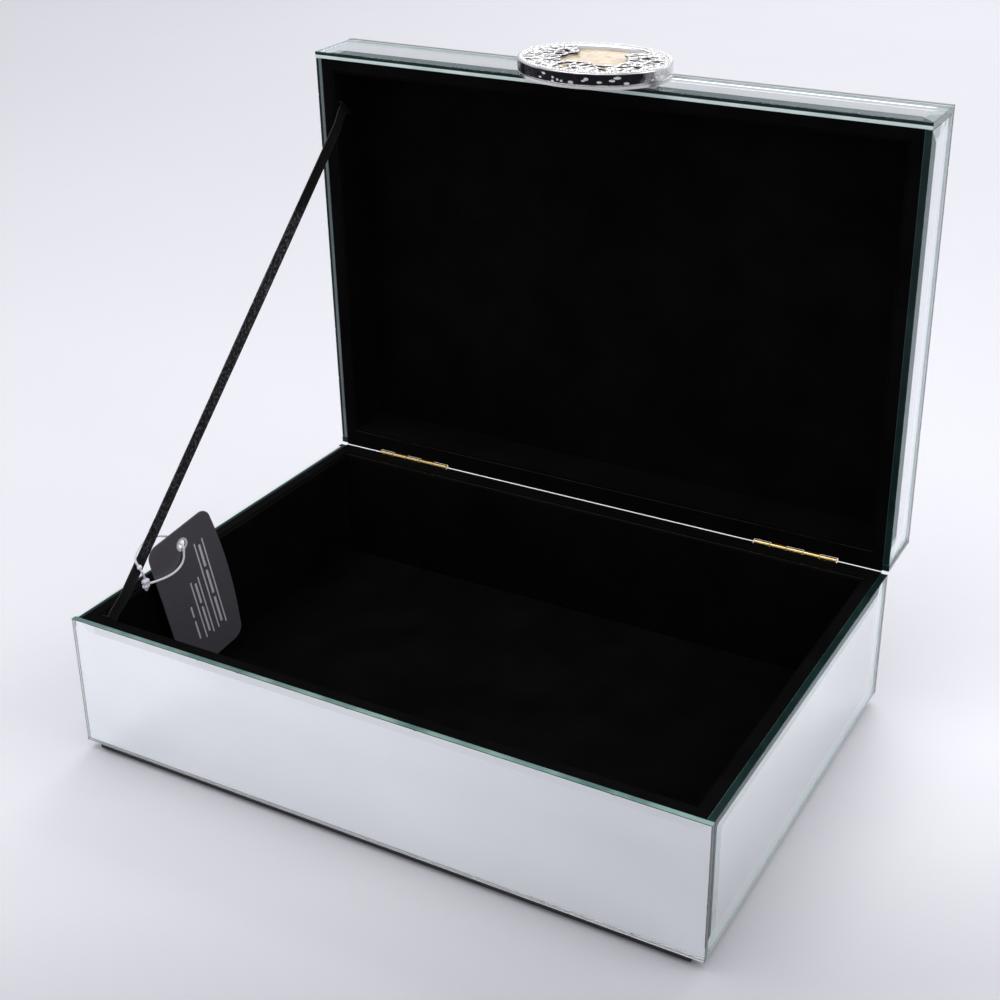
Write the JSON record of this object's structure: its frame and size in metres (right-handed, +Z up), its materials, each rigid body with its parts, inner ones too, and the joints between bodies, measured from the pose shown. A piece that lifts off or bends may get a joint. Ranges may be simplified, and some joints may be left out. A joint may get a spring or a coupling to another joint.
{
  "type": "mirrored trinket box",
  "caption": "Rectangular vanity box of bevelled mirror panels with a velvet lining, a hinged lid on a ribbon stay, an oval openwork medallion handle and a hang tag.",
  "frame": {"origin": "centre of the box's rectangular footprint, on the surface it stands on", "axes": "+X along the box's length, -Y towards the front and the handle, +Z up; the lid is stored standing open on its ribbon"},
  "size_m": [0.28, 0.2238, 0.2688],
  "materials": {
    "mirror_glass": "polished, bevelled, with ground green edges",
    "black_board": "fibreboard stained black",
    "velvet": "short black velvet",
    "rim_velvet": "short black velvet",
    "felt": "black felt",
    "hinge_brass": "bright plated",
    "silver": "hammered bright silver plate with dark recesses",
    "pearl_disc": "cream and gold marbled pearl resin",
    "glue_pad": "clear glue pad",
    "ribbon": "black woven ribbon",
    "staple_steel": "black painted wire",
    "tag_card": "matt dark grey printed card",
    "tag_nylon": "translucent white nylon"
  },
  "bodies": {
    "base": {"base_back_board": "black_board", "base_back_lining": "velvet", "base_back_mirror": "mirror_glass", "base_felt_pad": "felt", "base_floor_board": "black_board", "base_floor_lining": "velvet", "base_front_board": "black_board", "base_front_lining": "velvet", "base_front_mirror": "mirror_glass", "base_hinge_screws": "hinge_brass", "base_left_board": "black_board", "base_left_lining": "velvet", "base_left_mirror": "mirror_glass", "base_plinth_board": "black_board", "base_right_board": "black_board", "base_right_lining": "velvet", "base_right_mirror": "mirror_glass", "base_rim_trim": "rim_velvet", "left_hinge_base_leaf": "hinge_brass", "left_hinge_pin": "hinge_brass", "lid_stay_ribbon": "ribbon", "right_hinge_base_leaf": "hinge_brass", "right_hinge_pin": "hinge_brass", "stay_base_staple": "staple_steel", "tag_loop": "tag_nylon", "tag_loop_lock": "tag_nylon"},
    "lid": {"left_hinge_lid_leaf": "hinge_brass", "lid_back_board": "black_board", "lid_back_lining": "velvet", "lid_back_mirror": "mirror_glass", "lid_ceiling_lining": "velvet", "lid_front_board": "black_board", "lid_front_lining": "velvet", "lid_front_mirror": "mirror_glass", "lid_hinge_screws": "hinge_brass", "lid_left_board": "black_board", "lid_left_lining": "velvet", "lid_left_mirror": "mirror_glass", "lid_right_board": "black_board", "lid_right_lining": "velvet", "lid_right_mirror": "mirror_glass", "lid_rim_trim": "rim_velvet", "lid_top_board": "black_board", "lid_top_mirror": "mirror_glass", "medallion_back_plate": "silver", "medallion_disc": "pearl_disc", "medallion_lattice": "silver", "medallion_pad": "glue_pad", "medallion_ring": "silver", "right_hinge_lid_leaf": "hinge_brass", "stay_lid_staple": "staple_steel"},
    "tag": {"hang_tag": "tag_card"}
  },
  "joints": [
    {"name": "lid_hinge", "type": "hinge", "parent": "base", "child": "lid", "pos_m": [0, 0.0972, 0.06325], "axis": [1, 0, 0], "range_deg": [0, 88.5], "deforming": ["lid_stay_ribbon"]},
    {"name": "tag_swing", "type": "hinge", "parent": "base", "child": "tag", "pos_m": [-0.1254, -0.0432, 0.0757], "axis": [0.9925, -0.1219, 0], "range_deg": [-12, 0]}
  ]
}
